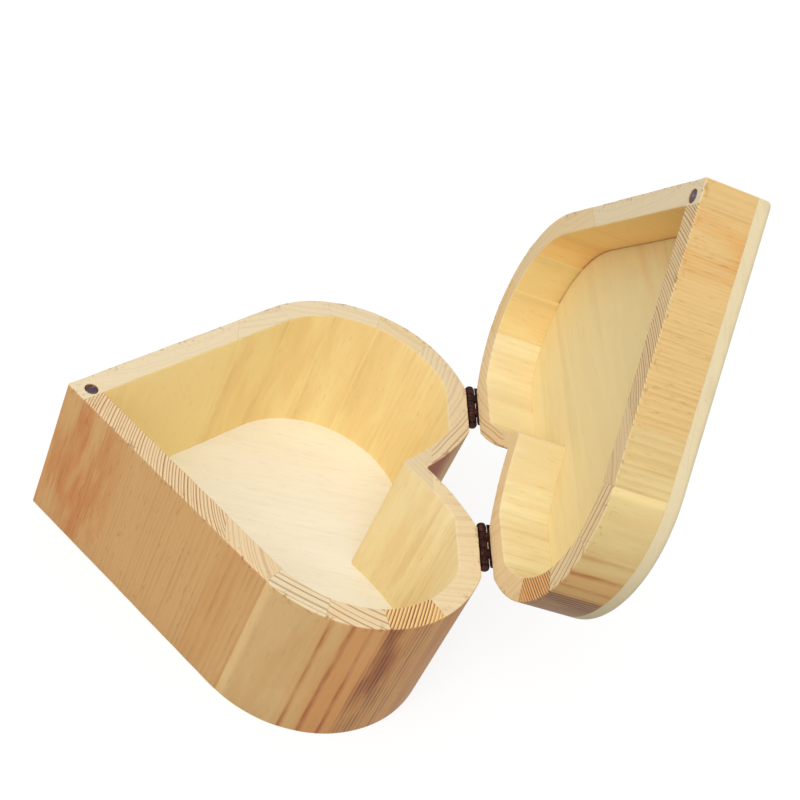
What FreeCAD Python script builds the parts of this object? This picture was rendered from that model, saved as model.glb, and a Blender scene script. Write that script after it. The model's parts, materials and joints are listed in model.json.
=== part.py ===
import FreeCAD, Part
import math
import os

# Heart-shaped wooden keepsake box with a hinged lid, in millimetres.
# The tip points to -Y, the hinges are on +Y, and the box stands on Z = 0.
# The origin is on the underside, half way along the heart.

# Heart outline
HEART_WIDTH = 100.0
TIP_HALF_ANGLE = 43.0
LOBE_RADIUS = 30.8
FLAT_PAST_LOBE_CENTRE = 4.0
NOTCH_DEPTH = 11.6
NOTCH_BULGE = 0.8
NOTCH_RADIUS = 0.8
TIP_RADIUS = 0.5

# Base ring, floor and edges
BASE_HEIGHT = 39.5
WALL = 5.3
NOTCH_WALL = 4.0
CAVITY_TIP_RADIUS = 0.1
CAVITY_NOTCH_RADIUS = 1.2
FLOOR_THICKNESS = 2.0
FLOOR_REBATE = 2.0
FLOOR_CLEARANCE = 0.1
EDGE_BREAK = 0.35

# Lid ring and top panel
RIM_GAP = 0.2
LID_RING_HEIGHT = 12.3
LID_PANEL_THICKNESS = 3.7
LID_PANEL_ROUND = 1.6
ROUND_STEPS = 5
SHARPEST_TIP = 0.1
REST_OPENING = 95.0

# Glue joints between the blocks of each ring: radial in the lobes, a butt joint at the tip
TIP_BLOCK_SHARE = 0.825
FIRST_JOINT_ANGLE = -39.3
SEGMENT_ANGLE = 26.6
LOBE_JOINTS = 4
NOTCH_JOINT_PAST_NOTCH = 1.0
TIP_JOINT_PAST_WALL = 0.2
JOINT_OVERRUN = 1.0

# Disc magnets at the tip
MAGNET_DIAMETER = 3.0
MAGNET_HEIGHT = 3.0
MAGNET_FROM_TIP = 5.2
MAGNET_CLEARANCE = 0.05

# Butt hinges on the back flats, both set a little to the left of the flats' middles
HINGE_LENGTH = 12.0
HINGE_MARGIN = 1.05
HINGE_SHIFT = -2.5
HINGE_DROP = 1.0
LEAF_HEIGHT = 7.2
LEAF_THICKNESS = 0.8
LEAF_CORNER_RADIUS = 1.5
KNUCKLES = 5
KNUCKLE_DIAMETER = 2.3
KNUCKLE_GAP = 0.16
BARREL_CLEARANCE = 0.15
TAB_CLEARANCE = 0.1
LIP_FROM_AXIS = 0.8
PIN_DIAMETER = 1.2
PIN_CLEARANCE = 0.05
PIN_HEAD_DIAMETER = 2.0
PIN_HEAD_HEIGHT = 0.45

# Countersunk screws
SCREW_SPACING = 6.0
SCREW_DROP = 4.6
SCREW_LENGTH = 4.0
SCREW_DIAMETER = 1.2
SCREW_HEAD_DIAMETER = 2.5
SCREW_HEAD_HEIGHT = 0.6
SCREW_POINT = 1.0
SCREW_SLOT_WIDTH = 0.35
SCREW_SLOT_DEPTH = 0.3
SCREW_HOLE_CLEARANCE = 0.1

# How near counts as the same place, and as on the centre line
SAME_PLACE = 1e-4
ON_CENTRE_LINE = 0.01

# Places worked out from the sizes above
tip_angle = math.radians(TIP_HALF_ANGLE)
side_normal = FreeCAD.Vector(math.cos(tip_angle), -math.sin(tip_angle), 0)
lobe_x = HEART_WIDTH / 2 - LOBE_RADIUS
lobe_from_tip = (LOBE_RADIUS + lobe_x * math.cos(tip_angle)) / math.sin(tip_angle)
flat_length = HINGE_LENGTH + 2 * HINGE_MARGIN
flat_inner_x = lobe_x - FLAT_PAST_LOBE_CENTRE
flat_outer_x = flat_inner_x + flat_length
flat_past_lobe = math.sqrt(LOBE_RADIUS**2 - (flat_outer_x - lobe_x) ** 2)
heart_length = lobe_from_tip + flat_past_lobe
tip_y = -heart_length / 2
lobe_y = tip_y + lobe_from_tip
back_y = lobe_y + flat_past_lobe
flat_middle_x = (flat_inner_x + flat_outer_x) / 2

# The notch sides are shallow arcs from the flats to a point on the centre line
notch_chord = math.hypot(flat_inner_x, NOTCH_DEPTH)
notch_side_radius = (notch_chord**2 / 4 + NOTCH_BULGE**2) / (2 * NOTCH_BULGE)
notch_side_x = flat_inner_x / 2 + (notch_side_radius - NOTCH_BULGE) * NOTCH_DEPTH / notch_chord
notch_side_y = (
    back_y
    - NOTCH_DEPTH / 2
    - (notch_side_radius - NOTCH_BULGE) * flat_inner_x / notch_chord
)

# The hinge axis lies behind the back flats, a little below the base's rim
axis_z = BASE_HEIGHT - HINGE_DROP
axis_y = back_y + KNUCKLE_DIAMETER / 2 + BARREL_CLEARANCE
lid_rim_z = BASE_HEIGHT + RIM_GAP
lid_panel_z = lid_rim_z + LID_RING_HEIGHT


SIDES = {"left": -1, "right": 1}
BELOW, ABOVE = -1, 1


def on_circle(x, y, radius, angle):
    return FreeCAD.Vector(x + radius * math.cos(angle), y + radius * math.sin(angle), 0)


def mirrored(point):
    return FreeCAD.Vector(-point.x, point.y, point.z)


def arc_of(x, y, radius, start, end):
    middle = on_circle(x, y, radius, (start + end) / 2)
    return on_circle(x, y, radius, start), middle, on_circle(x, y, radius, end)


def notch_centre_y(notch_inset, notch_radius):
    reach = notch_side_radius - notch_inset + notch_radius
    return notch_side_y + math.sqrt(reach**2 - notch_side_x**2)


def heart_wire(inset, notch_inset, tip_radius, notch_radius, z):
    """Heart outline moved inwards: straight sides, lobe arcs, back flats and notch sides."""
    lobe = LOBE_RADIUS - inset
    flat_y = back_y - inset
    lobe_end = math.asin((flat_y - lobe_y) / lobe)
    notch_side = notch_side_radius - notch_inset
    notch_y = notch_centre_y(notch_inset, notch_radius)
    flat_turn = math.pi - math.asin((flat_y - notch_side_y) / notch_side)
    notch_turn = math.atan2(notch_y - notch_side_y, -notch_side_x)
    tip_centre_y = tip_y + (inset + tip_radius) / math.sin(tip_angle)

    lobe_arc = arc_of(lobe_x, lobe_y, lobe, -tip_angle, lobe_end)
    notch_arc = arc_of(notch_side_x, notch_side_y, notch_side, flat_turn, notch_turn)
    tip_right = FreeCAD.Vector(0, tip_centre_y, 0) + side_normal * tip_radius
    tip_bottom = FreeCAD.Vector(0, tip_centre_y - tip_radius, 0)
    notch_bottom = FreeCAD.Vector(0, notch_y - notch_radius, 0)

    edges = [
        Part.LineSegment(tip_right, lobe_arc[0]),
        Part.Arc(*lobe_arc),
        Part.LineSegment(lobe_arc[2], notch_arc[0]),
        Part.Arc(*notch_arc),
        Part.Arc(notch_arc[2], notch_bottom, mirrored(notch_arc[2])),
        Part.Arc(*[mirrored(p) for p in reversed(notch_arc)]),
        Part.LineSegment(mirrored(notch_arc[0]), mirrored(lobe_arc[2])),
        Part.Arc(*[mirrored(p) for p in reversed(lobe_arc)]),
        Part.LineSegment(mirrored(lobe_arc[0]), mirrored(tip_right)),
        Part.Arc(mirrored(tip_right), tip_bottom, tip_right),
    ]
    wire = Part.Wire([edge.toShape() for edge in edges])
    wire.translate(FreeCAD.Vector(0, 0, z))
    return wire


def outer_wire(inset, z):
    tip_radius = max(TIP_RADIUS - inset, SHARPEST_TIP)
    return heart_wire(inset, inset, tip_radius, NOTCH_RADIUS + inset, z)


def cavity_wire(flare, z):
    tip_radius = CAVITY_TIP_RADIUS + flare
    notch_radius = CAVITY_NOTCH_RADIUS - flare
    return heart_wire(WALL - flare, NOTCH_WALL - flare, tip_radius, notch_radius, z)


def floor_wire(clearance, z):
    inset = WALL - FLOOR_REBATE + clearance
    notch_inset = NOTCH_WALL - FLOOR_REBATE + clearance
    tip_radius = CAVITY_TIP_RADIUS + FLOOR_REBATE - clearance
    return heart_wire(inset, notch_inset, tip_radius, NOTCH_RADIUS + notch_inset, z)


def upright(wire, height):
    return Part.Face(wire).extrude(FreeCAD.Vector(0, 0, height))


def stacked(wires):
    return Part.makeLoft(wires, True, True)


def heart_ring(bottom, top):
    """A wall of constant section with all four of its long edges broken."""
    low = bottom + EDGE_BREAK
    high = top - EDGE_BREAK
    body = upright(outer_wire(0, low), high - low)
    body = body.fuse(stacked([outer_wire(EDGE_BREAK, bottom), outer_wire(0, low)]))
    body = body.fuse(stacked([outer_wire(0, high), outer_wire(EDGE_BREAK, top)]))
    space = upright(cavity_wire(0, low), high - low)
    space = space.fuse(stacked([cavity_wire(EDGE_BREAK, bottom), cavity_wire(0, low)]))
    space = space.fuse(stacked([cavity_wire(0, high), cavity_wire(EDGE_BREAK, top)]))
    return body.cut(space)


def magnet_solid(z, clearance=0.0):
    middle = FreeCAD.Vector(0, tip_y + MAGNET_FROM_TIP, z)
    return Part.makeCylinder(MAGNET_DIAMETER / 2 + clearance, MAGNET_HEIGHT, middle)


def hinge_middle(side):
    return side * flat_middle_x + HINGE_SHIFT


def screw_places(side, direction):
    """Points on the back flat where one leaf's screws go in; direction is -1 below the axis."""
    z = axis_z + direction * SCREW_DROP
    return [
        FreeCAD.Vector(hinge_middle(side) + step * SCREW_SPACING / 2, back_y, z)
        for step in (-1, 1)
    ]


INTO_WALL = FreeCAD.Vector(0, -1, 0)
shank_in_wall = SCREW_LENGTH - LEAF_THICKNESS


def pilot_hole(place):
    straight = shank_in_wall - SCREW_POINT
    hole = Part.makeCylinder(SCREW_DIAMETER / 2, straight, place, INTO_WALL)
    end = place + INTO_WALL * straight
    return hole.fuse(Part.makeCone(SCREW_DIAMETER / 2, 0, SCREW_POINT, end, INTO_WALL))


def screw_head(place):
    outer = place - INTO_WALL * LEAF_THICKNESS
    return Part.makeCone(
        SCREW_HEAD_DIAMETER / 2, SCREW_DIAMETER / 2, SCREW_HEAD_HEIGHT, outer, INTO_WALL
    )


def screw(place):
    neck = LEAF_THICKNESS - SCREW_HEAD_HEIGHT
    top = place - INTO_WALL * neck
    shank = Part.makeCylinder(SCREW_DIAMETER / 2, neck, top, INTO_WALL)
    body = screw_head(place).fuse(shank).fuse(pilot_hole(place))
    slot = Part.makeBox(SCREW_HEAD_DIAMETER, SCREW_SLOT_DEPTH, SCREW_SLOT_WIDTH)
    slot.translate(
        FreeCAD.Vector(
            place.x - SCREW_HEAD_DIAMETER / 2,
            place.y + LEAF_THICKNESS - SCREW_SLOT_DEPTH,
            place.z - SCREW_SLOT_WIDTH / 2,
        )
    )
    return body.cut(slot).removeSplitter()


def screws(side, direction):
    return Part.Compound([screw(place) for place in screw_places(side, direction)])


def along_x(radius, start, length):
    place = FreeCAD.Vector(start, axis_y, axis_z)
    return Part.makeCylinder(radius, length, place, FreeCAD.Vector(1, 0, 0))


def leaf(side, direction, first_knuckle, bore_radius):
    """A hinge leaf on the back flat, its edge hollowed round the barrel, with every other knuckle."""
    left = hinge_middle(side) - HINGE_LENGTH / 2
    barrel_room = KNUCKLE_DIAMETER / 2 + BARREL_CLEARANCE
    plate = Part.makeBox(HINGE_LENGTH, LEAF_THICKNESS, LEAF_HEIGHT - barrel_room)
    plate_z = axis_z - LEAF_HEIGHT if direction < 0 else axis_z + barrel_room
    plate.translate(FreeCAD.Vector(left, back_y, plate_z))
    free_z = axis_z + direction * LEAF_HEIGHT
    corners = [
        e
        for e in plate.Edges
        if abs(e.BoundBox.ZMin - free_z) < SAME_PLACE
        and abs(e.BoundBox.ZMax - free_z) < SAME_PLACE
        and e.BoundBox.XLength < SAME_PLACE
    ]
    body = plate.makeFillet(LEAF_CORNER_RADIUS, corners)
    lip = Part.makeBox(HINGE_LENGTH, LEAF_THICKNESS - TAB_CLEARANCE, barrel_room - LIP_FROM_AXIS)
    lip_z = axis_z - barrel_room if direction < 0 else axis_z + LIP_FROM_AXIS
    lip.translate(FreeCAD.Vector(left, back_y + TAB_CLEARANCE, lip_z))
    body = body.fuse(lip).cut(along_x(barrel_room, left, HINGE_LENGTH))

    pitch = HINGE_LENGTH / KNUCKLES
    width = pitch - KNUCKLE_GAP
    for n in range(first_knuckle, KNUCKLES, 2):
        start = left + n * pitch + KNUCKLE_GAP / 2
        tab = Part.makeBox(width, LEAF_THICKNESS - TAB_CLEARANCE, barrel_room)
        tab_z = axis_z - barrel_room if direction < 0 else axis_z
        tab.translate(FreeCAD.Vector(start, back_y + TAB_CLEARANCE, tab_z))
        body = body.fuse(tab).fuse(along_x(KNUCKLE_DIAMETER / 2, start, width))
    body = body.cut(along_x(bore_radius, left, HINGE_LENGTH))
    for place in screw_places(side, direction):
        clear = SCREW_DIAMETER / 2 + SCREW_HOLE_CLEARANCE
        hole = Part.makeCylinder(clear, LEAF_THICKNESS, place, INTO_WALL * -1)
        body = body.cut(hole).cut(screw_head(place))
    return body.removeSplitter()


def hinge_pin(side):
    left = hinge_middle(side) - HINGE_LENGTH / 2 + KNUCKLE_GAP / 2
    length = HINGE_LENGTH - KNUCKLE_GAP
    body = along_x(PIN_DIAMETER / 2, left, length)
    for start in (left - PIN_HEAD_HEIGHT, left + length):
        body = body.fuse(along_x(PIN_HEAD_DIAMETER / 2, start, PIN_HEAD_HEIGHT))
    return body.removeSplitter()


def lid_panel():
    """A flat heart the size of the ring, with its upper edge rounded over."""
    top = lid_panel_z + LID_PANEL_THICKNESS
    straight_top = top - LID_PANEL_ROUND
    body = upright(outer_wire(0, lid_panel_z), straight_top - lid_panel_z)
    for step in range(ROUND_STEPS):
        wires = []
        for turn in (step, step + 1):
            angle = math.pi / 2 * turn / ROUND_STEPS
            inset = LID_PANEL_ROUND * (1 - math.cos(angle))
            rise = LID_PANEL_ROUND * math.sin(angle)
            wires.append(outer_wire(inset, straight_top + rise))
        body = body.fuse(stacked(wires))
    return body


def at_tip(left_depth, right_depth):
    """A point near the tip, this far in from the left and the right outer face."""
    x = (left_depth - right_depth) / (2 * math.cos(tip_angle))
    y = (left_depth + right_depth) / (2 * math.sin(tip_angle))
    return FreeCAD.Vector(x, tip_y + y, 0)


def joint_lines():
    """Where the blocks meet, as lines across the wall from its inside to its outside."""
    straight = lobe_from_tip - LOBE_RADIUS * math.sin(tip_angle)
    tip_end_y = tip_y + TIP_BLOCK_SHARE * straight
    tip_end_x = TIP_BLOCK_SHARE * straight * math.tan(tip_angle)
    wall_across = WALL / math.cos(tip_angle)
    lines = [
        (
            FreeCAD.Vector(tip_end_x - wall_across - JOINT_OVERRUN, tip_end_y, 0),
            FreeCAD.Vector(tip_end_x + JOINT_OVERRUN, tip_end_y, 0),
        )
    ]
    inside = LOBE_RADIUS - WALL - JOINT_OVERRUN
    outside = LOBE_RADIUS + JOINT_OVERRUN
    for n in range(LOBE_JOINTS):
        angle = math.radians(FIRST_JOINT_ANGLE + n * SEGMENT_ANGLE)
        ends = [on_circle(lobe_x, lobe_y, radius, angle) for radius in (inside, outside)]
        lines.append(tuple(ends))
    notch_y = notch_centre_y(0, NOTCH_RADIUS) - NOTCH_RADIUS + NOTCH_JOINT_PAST_NOTCH
    lines.append((FreeCAD.Vector(lobe_x, notch_y, 0), FreeCAD.Vector(0, notch_y, 0)))
    lines += [(mirrored(inner), mirrored(outer)) for inner, outer in lines]

    # The left tip block runs on to the tip, and the right one butts against it
    depth = WALL + TIP_JOINT_PAST_WALL
    lines.append((at_tip(depth, WALL + JOINT_OVERRUN), at_tip(depth, -JOINT_OVERRUN)))
    return lines


BLOCK_NAMES = [
    "tip_block",
    "side_block_1",
    "side_block_2",
    "side_block_3",
    "lobe_block",
    "back_block",
]


def wood_blocks(ring, prefix, bottom, height):
    """The ring parted at its glue joints, each block named by its place."""
    joints = []
    for inner, outer in joint_lines():
        edge = Part.LineSegment(inner, outer).toShape()
        edge.translate(FreeCAD.Vector(0, 0, bottom - JOINT_OVERRUN))
        joints.append(edge.extrude(FreeCAD.Vector(0, 0, height + 2 * JOINT_OVERRUN)))
    solids = ring.generalFuse(joints)[0].Solids

    def round_the_heart(solid):
        middle = solid.CenterOfMass
        return math.atan2(middle.y - lobe_y, abs(middle.x))

    blocks = {}
    for name, side in SIDES.items():
        own = [s for s in solids if s.CenterOfMass.x * side > ON_CENTRE_LINE]
        for place, solid in zip(BLOCK_NAMES, sorted(own, key=round_the_heart)):
            blocks[f"{prefix}_{name}_{place}"] = solid
    middle = [s for s in solids if abs(s.CenterOfMass.x) < ON_CENTRE_LINE]
    blocks[f"{prefix}_notch_block"] = middle[0]
    return blocks


def base_parts():
    ring = heart_ring(0, BASE_HEIGHT)
    ring = ring.cut(upright(floor_wire(0, 0), FLOOR_THICKNESS))
    magnet_z = BASE_HEIGHT - MAGNET_HEIGHT
    ring = ring.cut(magnet_solid(magnet_z, MAGNET_CLEARANCE))
    for side in SIDES.values():
        for place in screw_places(side, BELOW):
            ring = ring.cut(pilot_hole(place))
    parts = wood_blocks(ring, "base", 0, BASE_HEIGHT)
    parts["base_floor"] = upright(floor_wire(FLOOR_CLEARANCE, 0), FLOOR_THICKNESS)
    parts["base_magnet"] = magnet_solid(magnet_z)
    for name, side in SIDES.items():
        parts[f"{name}_hinge_base_leaf"] = leaf(side, BELOW, 0, PIN_DIAMETER / 2)
        parts[f"{name}_hinge_pin"] = hinge_pin(side)
        parts[f"{name}_base_leaf_screws"] = screws(side, BELOW)
    return parts


def lid_parts():
    ring = heart_ring(lid_rim_z, lid_panel_z)
    ring = ring.cut(magnet_solid(lid_rim_z, MAGNET_CLEARANCE))
    for side in SIDES.values():
        for place in screw_places(side, ABOVE):
            ring = ring.cut(pilot_hole(place))
    parts = wood_blocks(ring, "lid", lid_rim_z, LID_RING_HEIGHT)
    parts["lid_panel"] = lid_panel()
    parts["lid_magnet"] = magnet_solid(lid_rim_z)
    running_bore = PIN_DIAMETER / 2 + PIN_CLEARANCE
    for name, side in SIDES.items():
        parts[f"{name}_hinge_lid_leaf"] = leaf(side, ABOVE, 1, running_bore)
        parts[f"{name}_lid_leaf_screws"] = screws(side, ABOVE)
    axis_point = FreeCAD.Vector(0, axis_y, axis_z)
    for shape in parts.values():
        shape.rotate(axis_point, FreeCAD.Vector(-1, 0, 0), REST_OPENING)
    return parts


os.makedirs("parts", exist_ok=True)
print(f"heart {HEART_WIDTH:.2f} x {heart_length:.2f}, axis y {axis_y:.3f} z {axis_z:.3f}")
for node, shape in {**base_parts(), **lid_parts()}.items():
    shape.exportStep(f"parts/{node}.step")
    print(f"{node}: {len(shape.Solids)} solids, {shape.Volume:.2f} mm3, valid {shape.isValid()}")
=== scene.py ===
import json
import math

import bmesh
import bpy
import numpy as np
from mathutils import Matrix, Vector


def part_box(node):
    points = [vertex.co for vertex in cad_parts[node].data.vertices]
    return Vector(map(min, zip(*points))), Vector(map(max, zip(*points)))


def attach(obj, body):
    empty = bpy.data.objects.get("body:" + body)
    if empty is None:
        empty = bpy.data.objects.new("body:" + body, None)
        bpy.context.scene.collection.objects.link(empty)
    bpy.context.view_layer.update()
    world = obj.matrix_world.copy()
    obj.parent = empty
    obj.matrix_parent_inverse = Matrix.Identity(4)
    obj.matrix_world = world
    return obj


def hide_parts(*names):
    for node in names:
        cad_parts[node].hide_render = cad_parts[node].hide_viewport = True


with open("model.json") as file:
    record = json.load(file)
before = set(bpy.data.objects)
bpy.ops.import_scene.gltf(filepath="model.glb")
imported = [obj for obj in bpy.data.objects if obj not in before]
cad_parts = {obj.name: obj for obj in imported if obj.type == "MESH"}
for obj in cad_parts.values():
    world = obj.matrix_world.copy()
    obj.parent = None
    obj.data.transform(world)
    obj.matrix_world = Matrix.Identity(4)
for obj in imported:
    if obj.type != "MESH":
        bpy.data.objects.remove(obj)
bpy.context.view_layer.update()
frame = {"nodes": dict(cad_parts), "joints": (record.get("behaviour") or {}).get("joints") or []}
print("frame loaded:", len(frame["nodes"]), "nodes")

mm = 0.001
inMillimetres = (1 / mm, 1 / mm, 1 / mm)
hingeAxis = Vector(frame["joints"][0]["pos_m"])
lidOpening = math.radians(95)  # how far the lid stands open at rest


# Shader helpers: each adds one node and returns its output socket

def plug(tree, value, socket):
    if isinstance(value, bpy.types.NodeSocket):
        tree.links.new(value, socket)
    else:
        socket.default_value = value


def addNode(tree, kind, values, output=0, **settings):
    node = tree.nodes.new(kind)
    for name, value in settings.items():
        setattr(node, name, value)
    for key, value in values.items():
        plug(tree, value, node.inputs[key])
    return node.outputs[output]


def calc(tree, operation, *values):
    return addNode(tree, "ShaderNodeMath", dict(enumerate(values)), operation=operation)


def vectorCalc(tree, operation, *values):
    output = "Value" if operation in ("LENGTH", "DOT_PRODUCT") else "Vector"
    return addNode(tree, "ShaderNodeVectorMath", dict(enumerate(values)), output, operation=operation)


def noiseOf(tree, place, scale, detail=2.0, rough=0.5, output=0):
    stretched = vectorCalc(tree, "MULTIPLY", place, scale)
    values = {"Vector": stretched, "Scale": 1.0, "Detail": detail, "Roughness": rough}
    return addNode(tree, "ShaderNodeTexNoise", values, output)


def noiseAlong(tree, value, scale):
    values = {"W": value, "Scale": scale, "Detail": 1.0}
    return addNode(tree, "ShaderNodeTexNoise", values, noise_dimensions="1D")


def ramp(tree, value, low, high, first=0.0, last=1.0):
    values = {"Value": value, "From Min": low, "From Max": high, "To Min": first, "To Max": last}
    return addNode(tree, "ShaderNodeMapRange", values, interpolation_type="SMOOTHSTEP")


def blendColour(tree, share, a, b, mode="MIX"):
    return addNode(tree, "ShaderNodeMix", {0: share, 6: a, 7: b}, 2, data_type="RGBA", blend_type=mode)


def blendValue(tree, share, a, b):
    return addNode(tree, "ShaderNodeMix", {0: share, 2: a, 3: b}, 0, data_type="FLOAT")


def newGroup(name, inputs, outputs):
    group = bpy.data.node_groups.new(name, "ShaderNodeTree")
    kinds = {"v": "NodeSocketVector", "c": "NodeSocketColor", "f": "NodeSocketFloat"}
    for label, kind in inputs.items():
        group.interface.new_socket(label, in_out="INPUT", socket_type=kinds[kind])
    for label, kind in outputs.items():
        group.interface.new_socket(label, in_out="OUTPUT", socket_type=kinds[kind])
    start = group.nodes.new("NodeGroupInput")
    end = group.nodes.new("NodeGroupOutput")
    return group, start.outputs, end.inputs


def colour(red, green, blue):
    # screen values from 0 to 255 turned into linear light
    screen = np.array([red, green, blue]) / 255
    linear = np.where(screen < 0.04045, screen / 12.92, ((screen + 0.055) / 1.055) ** 2.4)
    return (*linear.tolist(), 1.0)


surfaceOutputs = {"Color": "c", "Roughness": "f", "Height": "f"}


# Pine: rings round a pith line along Z, dark late wood at the end of each ring, fibres along Z

# scales of the noise across and along the grain, for places in millimetres
pineNoise = {
    "bends": (0.07, 0.07, 0.008), "rings": 0.4, "drift": (0.12, 0.12, 0.03), "fading": (0.35, 0.35, 0.05),
    "fibre": (2.6, 2.6, 0.11), "fleck": (2.2, 2.2, 0.3), "chip": (0.9, 0.9, 0.9),
}
# where each mask starts and ends, and the values it has there unless they are 0 and 1
pineRamp = {
    "nearDark": (0.35, 1.0, 1.0, 0.3), "fleck": (0.60, 0.74), "chip": (0.56, 0.66),
    "fading": (0.35, 0.65, 0.3, 1.2), "streaks": (0.3, 0.6), "nearWarm": (0.4, 1.0, 1.0, 0.0),
    "glue": (0.6, 0.85), "strip": (0.4, 1.0, 1.0, 0.0), "seam": (0.02, 0.12, 1.0, 0.0),
}
# shares of a ring for its late wood, then strengths of the other effects
pineShare = {
    "ringShift": 3.0, "lateStart": 0.95, "lateFull": 0.88, "lateWider": 0.6, "fallStart": 0.93,
    "fallSooner": -0.1, "streaks": 0.5, "warmAlong": 0.25, "warmOnRim": 0.2, "fibreInside": -0.5,
    "glueWhole": 0.6, "seam": 0.1, "seamOnRim": 0.12, "rough": 0.48, "roughFibre": 0.2, "reliefLate": 0.4,
}


def makePineGroup():
    inputs = {
        "Position": "v", "Inside": "f", "On Rim": "f", "At Edge": "f", "At Joint": "f",
        "Outer": "c", "Inner": "c", "Rim": "c", "Late Tint": "c", "Warm Tint": "c", "Glue And Corner Shade Tint": "c",
        "Pith": "v", "Ring Width": "f", "Waver": "f", "Uneven": "f", "Late Share": "f",
        "Late Outer": "f", "Late Inner": "f", "Late Rim": "f", "Dark Ring": "f", "Dark Reach": "f",
        "Warm Share": "f", "Warm Place": "v", "Warm Reach": "f", "Fibre": "f", "Flecks": "f",
        "Chips": "f", "Stain And Corner Shade": "f", "Glue": "f", "Front Tint And Shade": "c", "Front Reach": "f",
        "Front": "v", "Back": "v",
    }
    tree, given, result = newGroup("pineWood", inputs, surfaceOutputs)
    place = vectorCalc(tree, "MULTIPLY", given["Position"], inMillimetres)
    longGrain = calc(tree, "SUBTRACT", 1.0, given["On Rim"])

    # distance from the pith, bent by slow noise that changes little along the trunk
    bends = noiseOf(tree, place, pineNoise["bends"], 1.0, 0.5, "Color")
    bends = vectorCalc(tree, "SUBTRACT", bends, (0.5, 0.5, 0.5))
    scaled = {0: bends, "Scale": given["Waver"]}
    bends = addNode(tree, "ShaderNodeVectorMath", scaled, operation="SCALE")
    away = vectorCalc(tree, "SUBTRACT", vectorCalc(tree, "ADD", place, bends), given["Pith"])
    radius = vectorCalc(tree, "LENGTH", vectorCalc(tree, "MULTIPLY", away, (1, 1, 0)))

    # ring number, with some rings wider and some darker than others
    unevenness = calc(tree, "SUBTRACT", noiseAlong(tree, radius, pineNoise["rings"]), 0.5)
    unevenness = calc(tree, "MULTIPLY", unevenness, given["Uneven"])
    ringNumber = calc(tree, "DIVIDE", radius, given["Ring Width"])
    ringNumber = calc(tree, "MULTIPLY_ADD", unevenness, pineShare["ringShift"], ringNumber)
    share = calc(tree, "FRACT", ringNumber)
    wholeRings = {"W": calc(tree, "FLOOR", ringNumber)}
    chance = addNode(tree, "ShaderNodeTexWhiteNoise", wholeRings, noise_dimensions="1D")
    lateWidth = calc(tree, "MULTIPLY_ADD", longGrain, pineShare["lateWider"], 1.0)
    lateWidth = calc(tree, "MULTIPLY", given["Late Share"], lateWidth)
    lateStart = calc(tree, "SUBTRACT", pineShare["lateStart"], lateWidth)
    late = ramp(tree, share, lateStart, pineShare["lateFull"])
    fall = calc(tree, "MULTIPLY_ADD", longGrain, pineShare["fallSooner"], pineShare["fallStart"])
    late = calc(tree, "MULTIPLY", late, ramp(tree, share, fall, 1.0, 1.0, 0.0))
    lightness = calc(tree, "MULTIPLY", chance, given["Uneven"])
    late = calc(tree, "MULTIPLY", late, calc(tree, "SUBTRACT", 1.0, lightness))
    offDark = calc(tree, "ABSOLUTE", calc(tree, "SUBTRACT", radius, given["Dark Ring"]))
    nearDark = calc(tree, "DIVIDE", offDark, given["Dark Reach"])
    late = calc(tree, "MULTIPLY", late, ramp(tree, nearDark, *pineRamp["nearDark"]))

    # noise that the effects below share
    drift = noiseOf(tree, place, pineNoise["drift"], 3.0)
    fading = noiseOf(tree, place, pineNoise["fading"], 3.0, 0.6)
    fibre = noiseOf(tree, place, pineNoise["fibre"], 4.0, 0.7)
    fleck = ramp(tree, noiseOf(tree, place, pineNoise["fleck"], 2.0), *pineRamp["fleck"])
    chip = ramp(tree, noiseOf(tree, place, pineNoise["chip"], 3.0), *pineRamp["chip"])

    # each face has its own base colour and its own strength of rings, which come and go along the grain
    wood = blendColour(tree, given["Inside"], given["Outer"], given["Inner"])
    wood = blendColour(tree, given["On Rim"], wood, given["Rim"])
    strength = blendValue(tree, given["Inside"], given["Late Outer"], given["Late Inner"])
    strength = calc(tree, "MULTIPLY", strength, ramp(tree, fading, *pineRamp["fading"]))
    strength = blendValue(tree, given["On Rim"], strength, given["Late Rim"])
    lateShown = calc(tree, "MULTIPLY", late, strength)

    # a reddish patch round one place, drawn out along the grain and broken up into streaks
    offWarm = vectorCalc(tree, "SUBTRACT", place, given["Warm Place"])
    offWarm = vectorCalc(tree, "MULTIPLY", offWarm, (1, 1, pineShare["warmAlong"]))
    offWarm = calc(tree, "DIVIDE", vectorCalc(tree, "LENGTH", offWarm), given["Warm Reach"])
    streaks = calc(tree, "SUBTRACT", calc(tree, "ADD", fading, fibre), 1.0)
    streaks = calc(tree, "MULTIPLY_ADD", streaks, pineShare["streaks"], drift)
    onRim = pineShare["warmOnRim"]
    warmth = calc(tree, "MULTIPLY", ramp(tree, streaks, *pineRamp["streaks"]), given["Warm Share"])
    warmth = calc(tree, "MULTIPLY", warmth, ramp(tree, offWarm, *pineRamp["nearWarm"]))
    warmth = calc(tree, "MULTIPLY", warmth, calc(tree, "MULTIPLY_ADD", longGrain, 1 - onRim, onRim))
    wood = blendColour(tree, warmth, wood, given["Warm Tint"], "MULTIPLY")
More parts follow.
